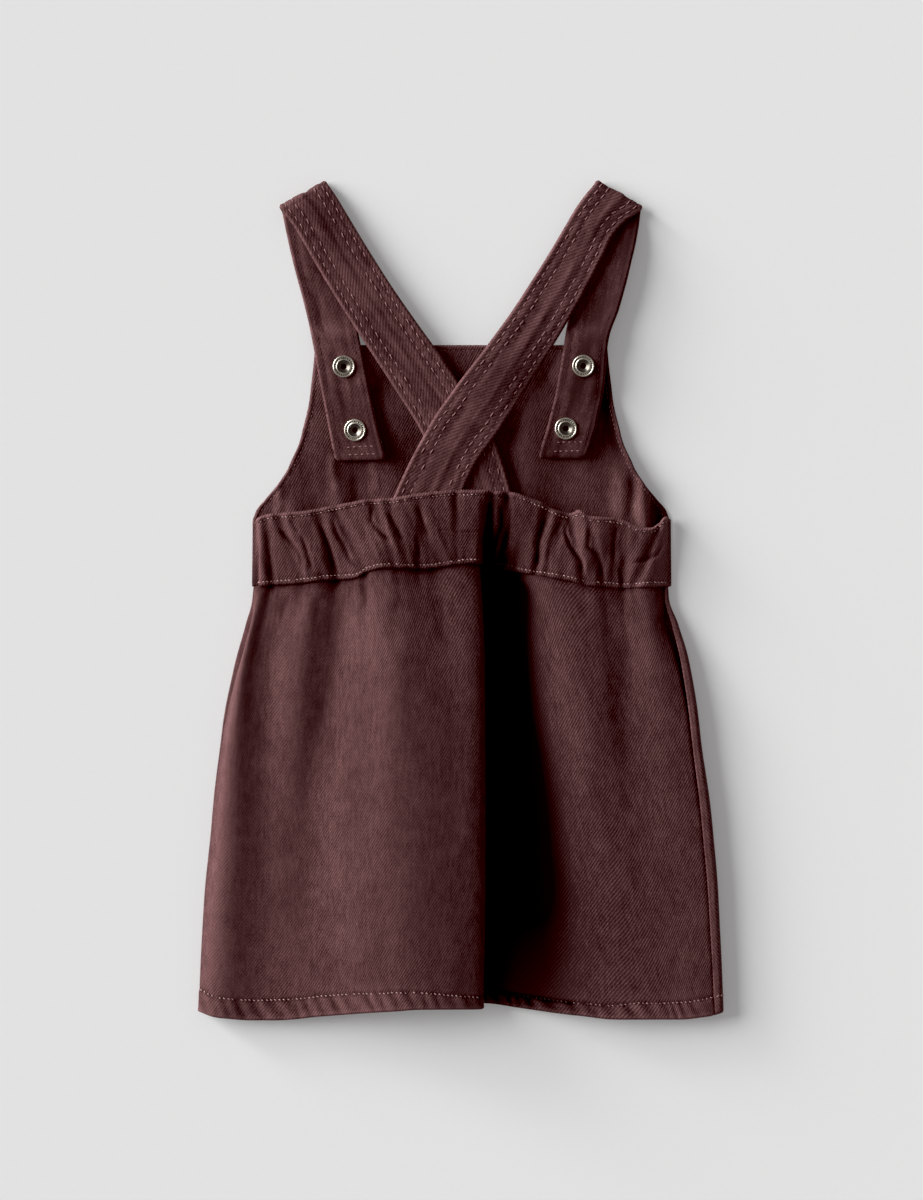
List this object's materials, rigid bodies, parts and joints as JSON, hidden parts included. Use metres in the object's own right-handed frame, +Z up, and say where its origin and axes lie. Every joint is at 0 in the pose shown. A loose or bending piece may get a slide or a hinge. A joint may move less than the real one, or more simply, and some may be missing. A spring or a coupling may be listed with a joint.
{
  "type": "pinafore dress",
  "caption": "Child's bib-front pinafore dress in cotton twill, laid flat back up, with crossed straps, snap fasteners, an elastic back waistband and an A-line skirt.",
  "frame": {"origin": "centre of the bounding box on the surface that the dress lies on", "axes": "+X across the dress, +Y from the hem to the shoulders, +Z up off the surface, with the garment's back facing up"},
  "size_m": [0.3408, 0.5448, 0.0268],
  "materials": {
    "twill": "garment-dyed burgundy-brown cotton twill, right side",
    "twill_inside": "wrong side of the same cotton twill",
    "snap": "aged nickel-plated snap"
  },
  "bodies": {
    "root": {"front_bib": "twill_inside", "front_skirt": "twill", "back_waistband": "twill", "back_skirt": "twill", "strap_left": "twill", "strap_right": "twill", "snap_left_upper": "snap", "snap_left_lower": "snap", "snap_right_upper": "snap", "snap_right_lower": "snap", "front_button_left": "snap", "front_button_right": "snap"}
  },
  "joints": []
}
